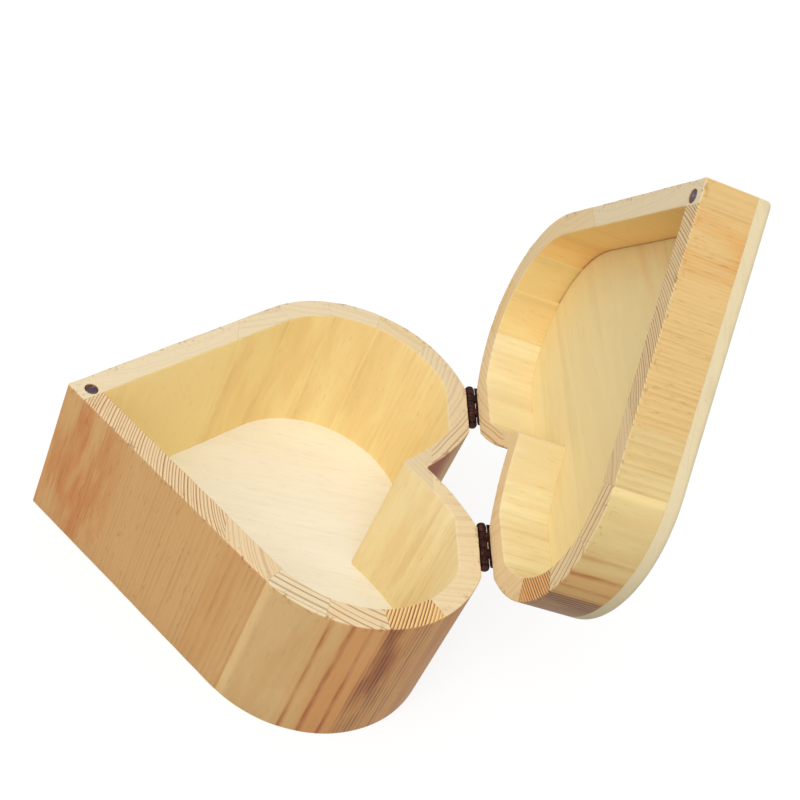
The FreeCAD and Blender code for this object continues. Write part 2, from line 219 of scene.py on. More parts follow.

    # late wood, fibres, flecks, chips at the outer edge of the rim, and a stain with painted corner shade
    # and glue at the joint with the board
    wood = blendColour(tree, lateShown, wood, given["Late Tint"], "MULTIPLY")
    depth = calc(tree, "MULTIPLY_ADD", given["Inside"], pineShare["fibreInside"], 1.0)
    depth = calc(tree, "MULTIPLY", given["Fibre"], depth)
    shade = calc(tree, "MULTIPLY_ADD", calc(tree, "SUBTRACT", fibre, 0.5), depth, 1.0)
    shadeColour = addNode(tree, "ShaderNodeCombineColor", {0: shade, 1: shade, 2: shade})
    wood = blendColour(tree, 1.0, wood, shadeColour, "MULTIPLY")
    flecks = calc(tree, "MULTIPLY", calc(tree, "MULTIPLY", fleck, given["Flecks"]), longGrain)
    wood = blendColour(tree, flecks, wood, given["Late Tint"], "MULTIPLY")
    chips = calc(tree, "MULTIPLY", calc(tree, "MULTIPLY", chip, given["Chips"]), given["At Edge"])
    wood = blendColour(tree, chips, wood, given["Late Tint"], "MULTIPLY")
    # darker towards the corner with the board: partly a stain, partly painted corner shade
    stainAndShade = calc(tree, "MULTIPLY", given["At Joint"], given["Stain And Corner Shade"])
    wood = blendColour(tree, stainAndShade, wood, given["Glue And Corner Shade Tint"], "MULTIPLY")
    whole = pineShare["glueWhole"]
    glue = calc(tree, "MULTIPLY", ramp(tree, given["At Joint"], *pineRamp["glue"]), given["Glue"])
    glue = calc(tree, "MULTIPLY", glue, calc(tree, "MULTIPLY_ADD", chip, 1 - whole, whole))
    wood = blendColour(tree, glue, wood, given["Glue And Corner Shade Tint"], "MULTIPLY")

    # another tint of the same board behind the front joint, on the back blocks browning by the saw and
    # painted shade at the notch, and a thin dark line at both joints; Front and Back hold a, b and c of
    # the plane a x + b y + c = 0
    level = vectorCalc(tree, "MULTIPLY_ADD", place, (1, 1, 0), (0, 0, 1))
    gaps = [vectorCalc(tree, "DOT_PRODUCT", level, given[end]) for end in ("Front", "Back")]
    gaps = [calc(tree, "ABSOLUTE", gap) for gap in gaps]
    strip = ramp(tree, calc(tree, "DIVIDE", gaps[0], given["Front Reach"]), *pineRamp["strip"])
    strip = calc(tree, "MULTIPLY", strip, calc(tree, "SUBTRACT", longGrain, given["Inside"]))
    wood = blendColour(tree, strip, wood, given["Front Tint And Shade"], "MULTIPLY")
    seam = ramp(tree, calc(tree, "MINIMUM", *gaps), *pineRamp["seam"])
    darkness = calc(tree, "MULTIPLY_ADD", given["On Rim"], pineShare["seamOnRim"], pineShare["seam"])
    seam = calc(tree, "MULTIPLY", seam, darkness)
    wood = blendColour(tree, seam, wood, given["Late Tint"], "MULTIPLY")

    plug(tree, wood, result["Color"])
    rough = calc(tree, "MULTIPLY_ADD", fibre, pineShare["roughFibre"], pineShare["rough"])
    plug(tree, rough, result["Roughness"])
    relief = calc(tree, "MULTIPLY_ADD", lateShown, pineShare["reliefLate"], fibre)
    plug(tree, calc(tree, "MULTIPLY_ADD", seam, -1.0, relief), result["Height"])
    return tree


# Metal: dark plating, rubbed bright in patches, finely pitted

metalLook = {
    "patch": (0.8, 0.8, 0.8), "pits": (7, 7, 7), "worn": (0.46, 0.66), "rough": 0.28, "roughPits": 0.3,
    "reliefPits": 0.4,
}


def makeMetalGroup():
    inputs = {"Position": "v", "Dark": "c", "Bright": "c", "Wear": "f"}
    tree, given, result = newGroup("agedMetal", inputs, surfaceOutputs)
    place = vectorCalc(tree, "MULTIPLY", given["Position"], inMillimetres)
    patch = noiseOf(tree, place, metalLook["patch"], 4.0, 0.6)
    pits = noiseOf(tree, place, metalLook["pits"], 2.0)
    worn = calc(tree, "MULTIPLY", ramp(tree, patch, *metalLook["worn"]), given["Wear"])
    plug(tree, blendColour(tree, worn, given["Dark"], given["Bright"]), result["Color"])
    rough = calc(tree, "MULTIPLY_ADD", pits, metalLook["roughPits"], metalLook["rough"])
    plug(tree, rough, result["Roughness"])
    plug(tree, calc(tree, "MULTIPLY_ADD", pits, metalLook["reliefPits"], patch), result["Height"])
    return tree


pineWood = makePineGroup()
agedMetal = makeMetalGroup()
bumpSettings = {"Strength": 0.2, "Distance": 0.1 * mm}


def surfaceMaterial(name, group, values, mappings=(), attributes=None, shader=None):
    # a group's colour, roughness and height into one shader; shader holds its constant sockets
    material = bpy.data.materials.new(name)
    material.use_nodes = True
    tree = material.node_tree
    principled = tree.nodes["Principled BSDF"]
    for key, value in (shader or {}).items():
        principled.inputs[key].default_value = value
    node = tree.nodes.new("ShaderNodeGroup")
    node.node_tree = group
    place = addNode(tree, "ShaderNodeTexCoord", {}, "Object")
    for mapping in mappings:
        place = addNode(tree, "ShaderNodeMapping", {"Vector": place, **mapping})
    plug(tree, place, node.inputs["Position"])
    for key, attribute in (attributes or {}).items():
        mark = addNode(tree, "ShaderNodeAttribute", {}, "Fac", attribute_name=attribute)
        plug(tree, mark, node.inputs[key])
    for key, value in values.items():
        plug(tree, value, node.inputs[key])
    plug(tree, node.outputs["Color"], principled.inputs["Base Color"])
    plug(tree, node.outputs["Roughness"], principled.inputs["Roughness"])
    bump = addNode(tree, "ShaderNodeBump", {"Height": node.outputs["Height"], **bumpSettings})
    plug(tree, bump, principled.inputs["Normal"])
    return material


# turns points of the open lid back to the closed one, so its grain runs on from the base
closeTurn = Matrix.Rotation(lidOpening, 3, "X")
closedLid = {"Rotation": (lidOpening, 0, 0), "Location": hingeAxis - closeTurn @ hingeAxis}
grainAlongX = {"Rotation": (0, -math.pi / 2, 0)}
grainAlongY = {"Rotation": (math.pi / 2, 0, 0)}


# The heart's outline, in millimetres, as the solids have it

heart = {
    "width": 100.0, "tipHalfAngle": 43.0, "lobeRadius": 30.8, "flatPastLobe": 4.0, "flatLength": 14.1,
    "notchDepth": 11.6, "notchBulge": 0.8, "notchRadius": 0.8, "tipRadius": 0.5,
    "wall": 5.3, "notchWall": 4.0, "cavityTipRadius": 0.1, "cavityNotchRadius": 1.2,
}
tipAngle = math.radians(heart["tipHalfAngle"])
lobeRadius = heart["lobeRadius"]
lobeX = heart["width"] / 2 - lobeRadius
lobeFromTip = (lobeRadius + lobeX * math.cos(tipAngle)) / math.sin(tipAngle)
flatInnerX = lobeX - heart["flatPastLobe"]
flatPastLobe = math.sqrt(lobeRadius**2 - (flatInnerX + heart["flatLength"] - lobeX) ** 2)
tipY = -(lobeFromTip + flatPastLobe) / 2
lobeY = tipY + lobeFromTip
backY = lobeY + flatPastLobe
notchChord = math.hypot(flatInnerX, heart["notchDepth"])
notchSideRadius = (notchChord**2 / 4 + heart["notchBulge"] ** 2) / (2 * heart["notchBulge"])
notchReach = notchSideRadius - heart["notchBulge"]
notchSideX = flatInnerX / 2 + notchReach * heart["notchDepth"] / notchChord
notchSideY = backY - heart["notchDepth"] / 2 - notchReach * flatInnerX / notchChord


def between(first, last, share):
    return first + (last - first) * share


def notchInset(d):
    # the same share of the notch's thinner wall
    return d * heart["notchWall"] / heart["wall"]


# Each stretch of wall is a function of t, along it, and d, the depth into the wall from outside

def alongTip(t, d, start=-math.pi / 2):
    # round nose: circle about the centre line, from an angle to the straight side's normal
    radius = between(heart["tipRadius"], heart["cavityTipRadius"], d / heart["wall"])
    angle = between(start, -tipAngle, t)
    centreY = tipY + (d + radius) / math.sin(tipAngle)
    return radius * np.cos(angle), centreY + radius * np.sin(angle)


def noseEnd(d):
    return alongTip(np.ones((1, 1)), d)[1]


def alongSide(t, d, low, high):
    # straight line at the tip's half angle up to the tangent point, then the lobe's circle
    y = between(low, high, t)
    straight = (y - tipY) * math.tan(tipAngle) - d / math.cos(tipAngle)
    radius = lobeRadius - d
    lobe = lobeX + np.sqrt(np.maximum(radius**2 - (y - lobeY) ** 2, 0))
    return np.where(y < lobeY - radius * math.sin(tipAngle), straight, lobe), y


def lobeAngle(y, d):
    return np.arcsin((y - lobeY) / (lobeRadius - d))


def alongLobe(t, d, start):
    # the lobe's circle from an angle to the back flat
    angle = between(start, lobeAngle(backY - d, d), t)
    radius = lobeRadius - d
    return lobeX + radius * np.cos(angle), lobeY + radius * np.sin(angle)


def notchAngle(y, d):
    return math.pi - np.arcsin((y - notchSideY) / (notchSideRadius - notchInset(d)))


def alongFlat(t, d):
    # straight across the back, from the lobe's end to the notch side's start
    radius = lobeRadius - d
    outer = lobeX + radius * np.cos(lobeAngle(backY - d, d))
    inner = notchSideX + (notchSideRadius - notchInset(d)) * np.cos(notchAngle(backY - d, d))
    return between(outer, inner, t), backY - d + 0 * t


def notchRound(d):
    # radius and centre of the small round at the notch's bottom
    radius = between(heart["notchRadius"], heart["cavityNotchRadius"], d / heart["wall"])
    reach = notchSideRadius - notchInset(d) + radius
    return radius, notchSideY + np.sqrt(reach**2 - notchSideX**2)


def alongNotch(t, d, start, end):
    # shallow arc of the notch's side between two angles
    angle = between(start, end, t)
    radius = notchSideRadius - notchInset(d)
    return notchSideX + radius * np.cos(angle), notchSideY + radius * np.sin(angle)


def notchTurn(d):
    return np.arctan2(notchRound(d)[1] - notchSideY, -notchSideX)


def alongNotchBottom(t, d):
    # the round at the bottom, from the right side's tangent point to the left one's
    radius, centreY = notchRound(d)
    start = np.arctan2(notchSideY - centreY, notchSideX)
    angle = between(start, -math.pi - start, t)
    return radius * np.cos(angle), centreY + radius * np.sin(angle)


ring = {
    "baseHeight": 39.5, "lidRim": 39.7, "lidTop": 52.0, "floorThickness": 2.0, "floorRebate": 2.0,
    "edge": 0.26, "edgeUneven": 0.1, "jointEdge": 0.08, "sanding": 0.05, "sandingOffFlat": 4.0,
    "faceFade": 8, "outerWaves": (2.3, 1.9, 0), "innerWaves": (1.7, 2.6, 40), "edgeReach": 0.9,
    "jointReach": 1.3,
}
# points along each part of the wall's section
sectionSteps = {
    "turn": 6, "outside": 26, "rim": 14, "lidInside": 12, "baseInside": 24, "rebate": 5, "floorEdge": 4,
    "under": 8,
}
# joints between the blocks: across at the tip blocks' ends and the notch, radial in the lobes,
# and at the tip along the inside of the left wall
joint = {
    "tipShare": 0.825, "firstAngle": -39.3, "segmentAngle": 26.6, "pastNotch": 1.0, "tipDepth": 5.5,
}
tipEndY = tipY + joint["tipShare"] * (lobeFromTip - lobeRadius * math.sin(tipAngle))
lobeJoints = [math.radians(joint["firstAngle"] + n * joint["segmentAngle"]) for n in range(4)]
notchBottomRadius, notchBottomY = notchRound(0.0)
notchJointY = notchBottomY - notchBottomRadius + joint["pastNotch"]


def lobeJointY(n, d):
    return lobeY + (lobeRadius - d) * math.sin(lobeJoints[n])


def tipJointY(d):
    return tipY + (joint["tipDepth"] + d) / (2 * math.sin(tipAngle))


def pastTip(t, d):
    # the straight side beyond the centre line, from the tip joint to the nose
    x, y = alongSide(t, d, tipJointY(d), noseEnd(d))
    return -x, y


def wallStretches(side, place):
    # the stretches that make one block of the right half, or of the left half seen mirrored, each with
    # its number of points
    if place == "tip" and side == "right":
        return [(64, lambda t, d: alongSide(t, d, tipJointY(d), tipEndY))]
    if place == "tip":
        return [
            (16, pastTip),
            (14, lambda t, d: alongTip(t, d, tipAngle - math.pi)),
            (64, lambda t, d: alongSide(t, d, noseEnd(d), tipEndY)),
        ]
    if place == "side_1":
        return [(26, lambda t, d: alongSide(t, d, tipEndY, lobeJointY(0, d)))]
    if place == "back":
        return [
            (16, lambda t, d: alongLobe(t, d, lobeJoints[3])),
            (22, alongFlat),
            (18, lambda t, d: alongNotch(t, d, notchAngle(backY - d, d), notchAngle(notchJointY, d))),
        ]
    if place == "notch":
        def right(t, d):
            return alongNotch(t, d, notchAngle(notchJointY, d), notchTurn(d))

        def left(t, d):
            x, y = right(1 - t, d)
            return -x, y

        return [(14, right), (12, alongNotchBottom), (14, left)]
    n = ("side_2", "side_3", "lobe").index(place)
    return [(26, lambda t, d: alongSide(t, d, lobeJointY(n, d), lobeJointY(n + 1, d)))]


def heartStretches():
    # right half of the whole outline, from the tip to the bottom of the notch
    return [
        (8, alongTip),
        (110, lambda t, d: alongSide(t, d, noseEnd(d), lobeJointY(3, d))),
        (20, lambda t, d: alongLobe(t, d, lobeJoints[3])),
        (24, alongFlat),
        (24, lambda t, d: alongNotch(t, d, notchAngle(backY - d, d), notchTurn(d))),
        (8, lambda t, d: alongNotchBottom(t / 2, d)),
    ]


def stepsOf(stretches):
    # shares of the way along each stretch, less the first one where the stretch before ends there
    steps = []
    for n, (count, path) in enumerate(stretches):
        t = np.linspace(0, 1, count)[:, None]
        steps.append((t[1:] if n else t, path))
    return steps


def walk(steps, d):
    # x and y of every step, for an array of depths with one row for each step
    x, y, row = [], [], 0
    for t, path in steps:
        depth = d[row : row + len(t)]
        px, py = path(t, depth)
        x.append(px + 0 * depth)
        y.append(py + 0 * depth)
        row += len(t)
    return np.concatenate(x), np.concatenate(y)


def wander(x, y, z):
    # slow unevenness from sanding by hand, between -1 and 1: three sine waves that cross
    return (
        np.sin(0.31 * x + 0.17 * y + 0.05 * z)
        + np.sin(0.13 * x - 0.37 * y + 0.09 * z + 1.3)
        + np.sin(0.71 * x + 0.53 * y - 0.11 * z + 2.1)
    ) / 3


def shares(count):
    return np.linspace(0, 1, count)[None, :]


def inner(part):
    # shares without the two ends
    return shares(sectionSteps[part] + 2)[:, 1:-1]


def wallSection(edgeOut, edgeIn, onLid):
    # closed outline of the wall: up the outside, over the rim, down the inside, back underneath;
    # gives depth, height and how far each point counts as rim, as lying at the outer rim edge
    # and as lying at the joint with the board
    wall = heart["wall"]
    turn = math.pi / 2 * shares(sectionSteps["turn"])
    one = np.ones_like(edgeOut)
    edge = ring["jointEdge"] * one
    rim = ring["lidRim"] if onLid else ring["baseHeight"]
    far = ring["lidTop"] if onLid else 0.0
    way = -1 if onLid else 1  # up or down, towards the rim
    parts = []

    def add(d, z, onRim=0.0):
        atEdge = np.exp(-np.hypot(d, z - rim) / ring["edgeReach"])
        atJoint = np.exp(-np.hypot(wall - d, z - far) / ring["jointReach"])
        parts.append(np.broadcast_arrays(d * one, z * one, onRim * one, atEdge * one, atJoint * one))

    add(0, between(far + way * edge, rim - way * edgeOut, inner("outside") ** 0.5))
    add(edgeOut * (1 - np.cos(turn)), rim - way * edgeOut * (1 - np.sin(turn)), np.sin(turn))
    add(between(edgeOut, wall - edgeIn, inner("rim")), rim, 1.0)
    add(wall - edgeIn * (1 - np.sin(turn)), rim - way * edgeIn * (1 - np.cos(turn)), np.cos(turn))
    if onLid:
        under = wall - edge
        add(wall, between(rim - way * edgeIn, far + way * edge, inner("lidInside")))
        add(wall - edge * (1 - np.cos(turn)), far + way * edge * (1 - np.sin(turn)))
    else:
        step = ring["floorThickness"]
        under = (wall - ring["floorRebate"]) * one
        add(wall, between(rim - edgeIn, step, inner("baseInside")))
        add(between(wall, under, shares(sectionSteps["rebate"])), step)
        add(under, between(step, 0, shares(sectionSteps["floorEdge"])[:, 1:]))
    add(between(under, edge, inner("under")), far)
    add(edge * (1 - np.sin(turn)), far + way * edge * (1 - np.cos(turn)))
    return [np.concatenate(group, 1) for group in zip(*parts)]


def edgeSize(x, y, waves):
    return ring["edge"] + ring["edgeUneven"] * wander(waves[0] * x, waves[1] * y, waves[2])


def wallPoints(side, place, onLid):
    # one block's surface: its section carried along its stretches, with uneven edges and faces
    steps = stepsOf(wallStretches(side, place))
    rows = sum(len(t) for t, path in steps)
    x, y = walk(steps, np.zeros((rows, 1)))
    edgeOut = edgeSize(x, y, ring["outerWaves"])
    edgeIn = edgeSize(x, y, ring["innerWaves"])
    d, z, onRim, atEdge, atJoint = wallSection(edgeOut, edgeIn, onLid)
    x, y = walk(steps, d)
    # no sanding on the back flats, where the hinge leaves lie, and away from the two faces
    offFlat = np.clip((backY - y) / ring["sandingOffFlat"], 0, 1)
    fromMiddle = np.abs(2 * d / heart["wall"] - 1)
    onFace = np.clip((fromMiddle - 1) * ring["faceFade"] + 1, 0, 1)
    x, y = walk(steps, d + ring["sanding"] * wander(x, y, z) * offFlat * onFace)
    inside = np.clip(d / heart["wall"], 0, 1)
    marks = {"inside": inside, "onRim": onRim, "atEdge": atEdge, "atJoint": atJoint}
    return np.stack([x, y, z], 2), marks


# From point grids to finished pieces

sharpAngle = math.radians(38)  # edges sharper than this stay corners
mergeDistance = 1e-7  # metres


def meshFromGrid(name, points, capped=False, marks=None):
    # closed round the columns; the first and last row end in flat caps, or close in a point
    rows, columns = points.shape[:2]
    index = np.arange(rows * columns).reshape(rows, columns)
    after = np.roll(index, -1, 1)
    faces = np.stack([index[:-1], after[:-1], after[1:], index[1:]], 2).reshape(-1, 4).tolist()
    if capped:
        faces += [index[0, ::-1].tolist(), index[-1].tolist()]
    mesh = bpy.data.meshes.new(name)
    mesh.from_pydata(points.reshape(-1, 3).tolist(), [], faces)
    for key, values in (marks or {}).items():
        attribute = mesh.attributes.new(key, "FLOAT", "POINT")
        attribute.data.foreach_set("value", values.astype(np.float32).ravel())
    return mesh


def tidyMesh(mesh):
    # doubles merged, faces outwards, smooth except at real corners
    work = bmesh.new()
    work.from_mesh(mesh)
    bmesh.ops.remove_doubles(work, verts=work.verts, dist=mergeDistance)
    bmesh.ops.recalc_face_normals(work, faces=work.faces)
    work.to_mesh(mesh)
    work.free()
    mesh.polygons.foreach_set("use_smooth", np.ones(len(mesh.polygons), bool))
    mesh.set_sharp_from_angle(angle=sharpAngle)


def drilled(mesh, cutters):
    # cuts the closed cutter meshes out of the mesh
    block = bpy.data.objects.new("block", mesh)
    bpy.context.scene.collection.objects.link(block)
    bits = []
    for cutter in cutters:
        tidyMesh(cutter)
        bit = bpy.data.objects.new("bit", cutter)
        bpy.context.scene.collection.objects.link(bit)
        cut = block.modifiers.new("cut", "BOOLEAN")
        cut.object = bit
        cut.solver = "EXACT"
        bits.append(bit)
    bpy.context.view_layer.update()
    evaluated = block.evaluated_get(bpy.context.evaluated_depsgraph_get())
    result = bpy.data.meshes.new_from_object(evaluated)
    for extra in [block, *bits]:
        bpy.data.objects.remove(extra)
    return result


def finishPiece(mesh, name, body, material, slot, *nodes):
    tidyMesh(mesh)
    piece = bpy.data.objects.new(name, mesh)
    bpy.context.scene.collection.objects.link(piece)
    mesh.materials.clear()
    mesh.materials.append(material)
    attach(piece, body)
    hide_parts(*nodes)


def inMetres(points, onLid):
    # millimetres of the closed box to metres, with the lid turned to its rest opening
    points = points * mm
    if not onLid:
        return points
    y = points[..., 1] - hingeAxis.y
    z = points[..., 2] - hingeAxis.z
    c, s = math.cos(lidOpening), math.sin(lidOpening)
    return np.stack([points[..., 0], hingeAxis.y + y * c + z * s, hingeAxis.z - y * s + z * c], -1)


def turned(profile, count=48):
    # a profile of (radius, height) turned about Z
    radius, height = np.array(profile, float).T
    angle = np.linspace(0, 2 * math.pi, count, endpoint=False)
    x = np.outer(radius, np.cos(angle))
    y = np.outer(radius, np.sin(angle))
    z = np.outer(height, np.ones_like(angle))
    return np.stack([x, y, z], 2)


# Magnets at the tip, each in a drilled pocket a little below the rim

magnet = {
    "radius": 1.5, "height": 3.0, "fromTip": 5.2, "pocketGap": 0.03, "recess": 0.08, "bevel": 0.18,
    "cutPastRim": 1.0,
}
magnetFinish = {"Dark": colour(74, 56, 66), "Bright": colour(150, 128, 136), "Wear": 0.7}
magnetShader = {"Metallic": 0.5}
magnetY = tipY + magnet["fromTip"]


def magnetPoints(onLid, grow, face):
    # short turned bar in the rim; face is how far its visible end stands past the rim
    way = 1 if onLid else -1
    rim = ring["lidRim"] if onLid else ring["baseHeight"]
    bevel = magnet["bevel"] if face < 0 else 0.0
    radius = magnet["radius"] + grow
    front = rim - way * face
    back = rim + way * magnet["height"]
    end = [(0, front), (radius - bevel, front), (radius, front + way * bevel)]
    profile = [*end, (radius, back), (0, back)]
    return turned(profile) + np.array([0, magnetY, 0])


def makeMagnet(body):
    onLid = body == "lid"
    points = inMetres(magnetPoints(onLid, 0.0, -magnet["recess"]), onLid)
    plating = f"{body}_magnet_plating"
    material = surfaceMaterial(plating, agedMetal, magnetFinish, shader=magnetShader)
    mesh = meshFromGrid(f"{body}_magnet_disc", points)
    finishPiece(mesh, f"{body}_magnet_disc", body, material, "magnet_metal", f"{body}_magnet")


makeMagnet("base")
makeMagnet("lid")
print("magnets made")


# Wood blocks of the two rings

farOff = 900.0  # millimetres, past every part of the box
plainGrain = {
    "Late Tint": colour(170, 134, 100), "Late Outer": 0.22, "Late Inner": 0.12, "Late Rim": 0.14,
    "Late Share": 0.5, "Waver": 1.5, "Uneven": 0.6, "Dark Ring": 0.0, "Dark Reach": 10 * farOff,
    "Warm Tint": colour(240, 214, 186), "Warm Share": 0.35, "Warm Place": (0, 0, 0), "Warm Reach": farOff,
    "Glue And Corner Shade Tint": colour(176, 116, 66), "Stain And Corner Shade": 0.0, "Glue": 0.0, "Fibre": 0.26, "Flecks": 0.14,
    "Chips": 0.7, "Front Tint And Shade": (1, 1, 1, 1), "Front Reach": 1.0,
}
# the base's outer colour is more orange than the lid's, though both are the same wood: painted warm shade
# of the base's outer wall
ringColours = {
    "base": {
        "Outer": colour(233, 182, 117), "Inner": colour(254, 234, 172), "Rim": colour(233, 214, 176),
    },
    "lid": {
        "Outer": colour(229, 191, 124), "Inner": colour(251, 229, 163), "Rim": colour(238, 211, 166),
    },
}
# run is the direction of the ring lines seen from above, pithAway how far off their centre lies
blockRings = {
    "right_tip": {"run": 0, "pithAway": 47, "Ring Width": 0.68},
    "right_side_1": {"run": 12, "pithAway": 38, "Ring Width": 0.9},
    "right_side_2": {"run": 69, "pithAway": 150, "Ring Width": 1.4},
    "right_side_3": {"run": 70, "pithAway": 57, "Ring Width": 1.5},
    "right_lobe": {"run": 165, "pithAway": 150, "Ring Width": 0.77},
    "right_back": {"run": 100, "pithAway": 60, "Ring Width": 2.6},
    "left_tip": {"run": 130, "pithAway": 120, "Ring Width": 1.6},
    "left_side_1": {"run": 120, "pithAway": 80, "Ring Width": 2.0},
    "left_side_2": {"run": 100, "pithAway": 80, "Ring Width": 2.2},
    "left_side_3": {"run": 85, "pithAway": 70, "Ring Width": 1.8},
    "left_lobe": {"run": 60, "pithAway": 70, "Ring Width": 1.7},
    "left_back": {"run": 157, "pithAway": 63, "Ring Width": 1.3},
    "notch": {"run": 45, "pithAway": 80, "Ring Width": 1.4},
}
# tones that single faces have against the colour of their ring; the two darkest are painted shade, the
# red-brown one is partly painted shade and the golden one is partly painted bounce light
tonesAndPaintedShade = {
    "plain": (1, 1, 1), "yellower": (1, 1.15, 1.3), "paler": (1, 1.05, 1.25), "palest": (1, 1.1, 1.4),
    "goldenAndBounce": (1.04, 0.9, 0.8), "redder": (0.95, 0.85, 0.8), "paintedShade": (0.8, 0.7, 0.65),
    "paintedDeepShade": (0.65, 0.55, 0.65), "scorchedAndShaded": (0.55, 0.22, 0.12),
}
# the sides of the notch, browned by the saw and darkened further with painted shade
scorchedAndShaded = {"Front Tint And Shade": (*tonesAndPaintedShade["scorchedAndShaded"], 1), "Front Reach": 11.0}
blockFinish = {
    "right_tip": {
        "Late Rim": 1.0, "Late Outer": 0.2, "Late Share": 0.55, "Waver": 0.5, "Uneven": 0.4,
        "Flecks": 0.3, "Rim": colour(234, 206, 160),
    },
    "right_side_1": {
        "Late Rim": 0.35, "Late Outer": 0.25, "Waver": 0.8, "Uneven": 0.5, "Rim": colour(233, 206, 162),
    },
    "right_side_2": {
        "Late Rim": 0.9, "Late Share": 0.3, "Late Outer": 0.12, "Waver": 0.4, "Uneven": 0.4,
        "Front Tint And Shade": (1.16, 1.2, 1.24, 1), "Front Reach": 2.8,
    },
    "right_side_3": {
        "Late Rim": 0.9, "Late Share": 0.28, "Late Outer": 0.75, "Waver": 0.6, "Uneven": 0.3,
        "Late Tint": colour(192, 128, 86), "Rim": colour(233, 210, 168),
        "Front Tint And Shade": (1.05, 1.3, 1.5, 1), "Front Reach": 8.0,
    },
    "right_lobe": {
        "Late Rim": 1.0, "Late Outer": 0.72, "Late Share": 0.66, "Waver": 0.5, "Uneven": 0.2,
        "Late Tint": colour(94, 44, 22), "Rim": colour(252, 208, 139), "Dark Ring": 149.5,
        "Dark Reach": 8.0, "Front Tint And Shade": (0.94, 0.9, 0.88, 1), "Front Reach": 8.0,
    },
    "right_back": {
        "Late Inner": 0.18, "Late Share": 0.35, "Late Tint": colour(190, 140, 92), **scorchedAndShaded,
    },
    "left_lobe": {"Late Inner": 0.22},
    "left_back": {
        "Late Rim": 0.7, "Late Inner": 0.2, "Uneven": 0.4, "Late Tint": colour(180, 122, 90),
        "Dark Ring": 70.0, "Dark Reach": 3.5, **scorchedAndShaded,
    },
}
# finish that shows on one ring only: warm patches at the tip, a dark one on the lobe, dried glue and a
# stain with painted corner shade in the corner of the lid and rims of their own colour
onlyFinish = {
    "base_right_tip": {
        "Warm Tint": colour(238, 186, 152), "Warm Share": 0.8, "Warm Place": (6.5, -41, 10),
        "Warm Reach": 15.0,
    },
    "base_left_tip": {
        "Warm Tint": colour(240, 196, 164), "Warm Share": 0.8, "Warm Place": (2, -46, 10),
        "Warm Reach": 9.0,
    },
    "base_right_lobe": {
        "Warm Tint": colour(196, 158, 142), "Warm Share": 0.85, "Warm Place": (48.5, 27.9, 31),
        "Warm Reach": 6.5,
    },
    "lid_right_tip": {
        "Warm Tint": colour(252, 226, 190), "Warm Share": 1.0, "Warm Place": (9, -38.5, 46),
        "Warm Reach": 8.0,
    },
    "lid_left_tip": {"Stain And Corner Shade": 0.4, "Glue": 0.9, "Warm Share": 0.0, "Rim": colour(238, 218, 183)},
    "lid_left_side_1": {"Stain And Corner Shade": 0.4, "Glue": 0.9, "Warm Share": 0.0},
    "lid_left_side_2": {"Stain And Corner Shade": 0.35, "Glue": 0.8},
    "lid_left_side_3": {"Stain And Corner Shade": 0.25, "Glue": 0.4},
    "lid_right_lobe": {"Rim": colour(242, 186, 124)},
    "lid_left_lobe": {"Rim": colour(238, 206, 152)},
    "base_right_back": {"Rim": colour(242, 222, 180)},
    "base_left_lobe": {"Rim": colour(233, 211, 165)},
}
# outer walls of the right back blocks and of the lid's right lobe are darkened with painted shade where
# they turn from the light
outerToneAndShade = {
    "base_right_side_2": "yellower", "base_right_side_3": "redder", "base_right_lobe": "redder",
    "base_right_back": "paintedShade", "base_notch": "scorchedAndShaded", "base_left_side_1": "yellower",
    "base_left_side_2": "yellower", "base_left_side_3": "yellower", "base_left_lobe": "yellower",
    "base_left_back": "yellower", "lid_right_side_1": "yellower", "lid_right_side_2": "yellower",
    "lid_right_side_3": "redder", "lid_right_lobe": "paintedDeepShade", "lid_right_back": "paintedShade",
    "lid_notch": "scorchedAndShaded",
}
# the golden inner walls of the lid's left tip and sides are partly the wood's tone, partly painted bounce
# light inside the lid
innerToneAndBounce = {
    "base_right_back": "paler", "base_notch": "paler", "lid_left_tip": "goldenAndBounce",
    "lid_left_side_1": "goldenAndBounce", "lid_left_side_2": "goldenAndBounce", "lid_left_back": "palest",
    "lid_right_back": "palest", "lid_notch": "palest",
}
rimTint = {"base": (1, 1, 1), "lid": (1.1, 1.1, 1.05)}
# about the middle of each block of the right half, seen from above
blockMiddle = {
    "tip": (20, -23), "side_1": (35, -6), "side_2": (44, 6), "side_3": (47.2, 17.9),
    "lobe": (43.5, 31), "back": (25, 44), "notch": (0, 34),
}


def pithOf(side, place, run, pithAway):
    # centre of the rings, at right angles to their lines from the block's middle
    x, y = blockMiddle[place]
    x = -x if side == "left" else x
    angle = math.radians(run + 90)
    return (x + pithAway * math.cos(angle), y + pithAway * math.sin(angle), 0)


def planeAt(x, y, angle):
    # a, b and c of the upright plane a x + b y + c = 0 through a point, along an angle
    a, b = -math.sin(angle), math.cos(angle)
    return np.array([a, b, -a * x - b * y])


def blockEnds(side, place):
    # planes of the joints in front of and behind the block; a back block has the middle of the notch
    # in front, and the notch block has planes far off
    mirror = np.array([-1, 1, 1]) if side == "left" else 1
    quarter = math.pi / 2
    depth = joint["tipDepth"]
    tipJointX = depth * math.cos(tipAngle)
    atTip = planeAt(tipJointX, tipY + depth * math.sin(tipAngle), quarter + tipAngle)
    atTipEnd = planeAt(0, tipEndY, 0)
    middle = planeAt(0, 0, quarter)
    far = planeAt(0, farOff, 0)
    inLobe = [planeAt(lobeX, lobeY, angle) * mirror for angle in lobeJoints]
    ends = {
        "tip": (atTip, atTipEnd), "side_1": (atTipEnd, inLobe[0]), "side_2": inLobe[:2],
        "side_3": inLobe[1:3], "lobe": inLobe[2:], "back": (middle, inLobe[3]), "notch": (far, far),
    }
    return [plane.tolist() for plane in ends[place]]


def tinted(colourValue, tint):
    # a colour with four values times a tint with three
    return (np.array(colourValue) * np.array([*tint, 1])).tolist()


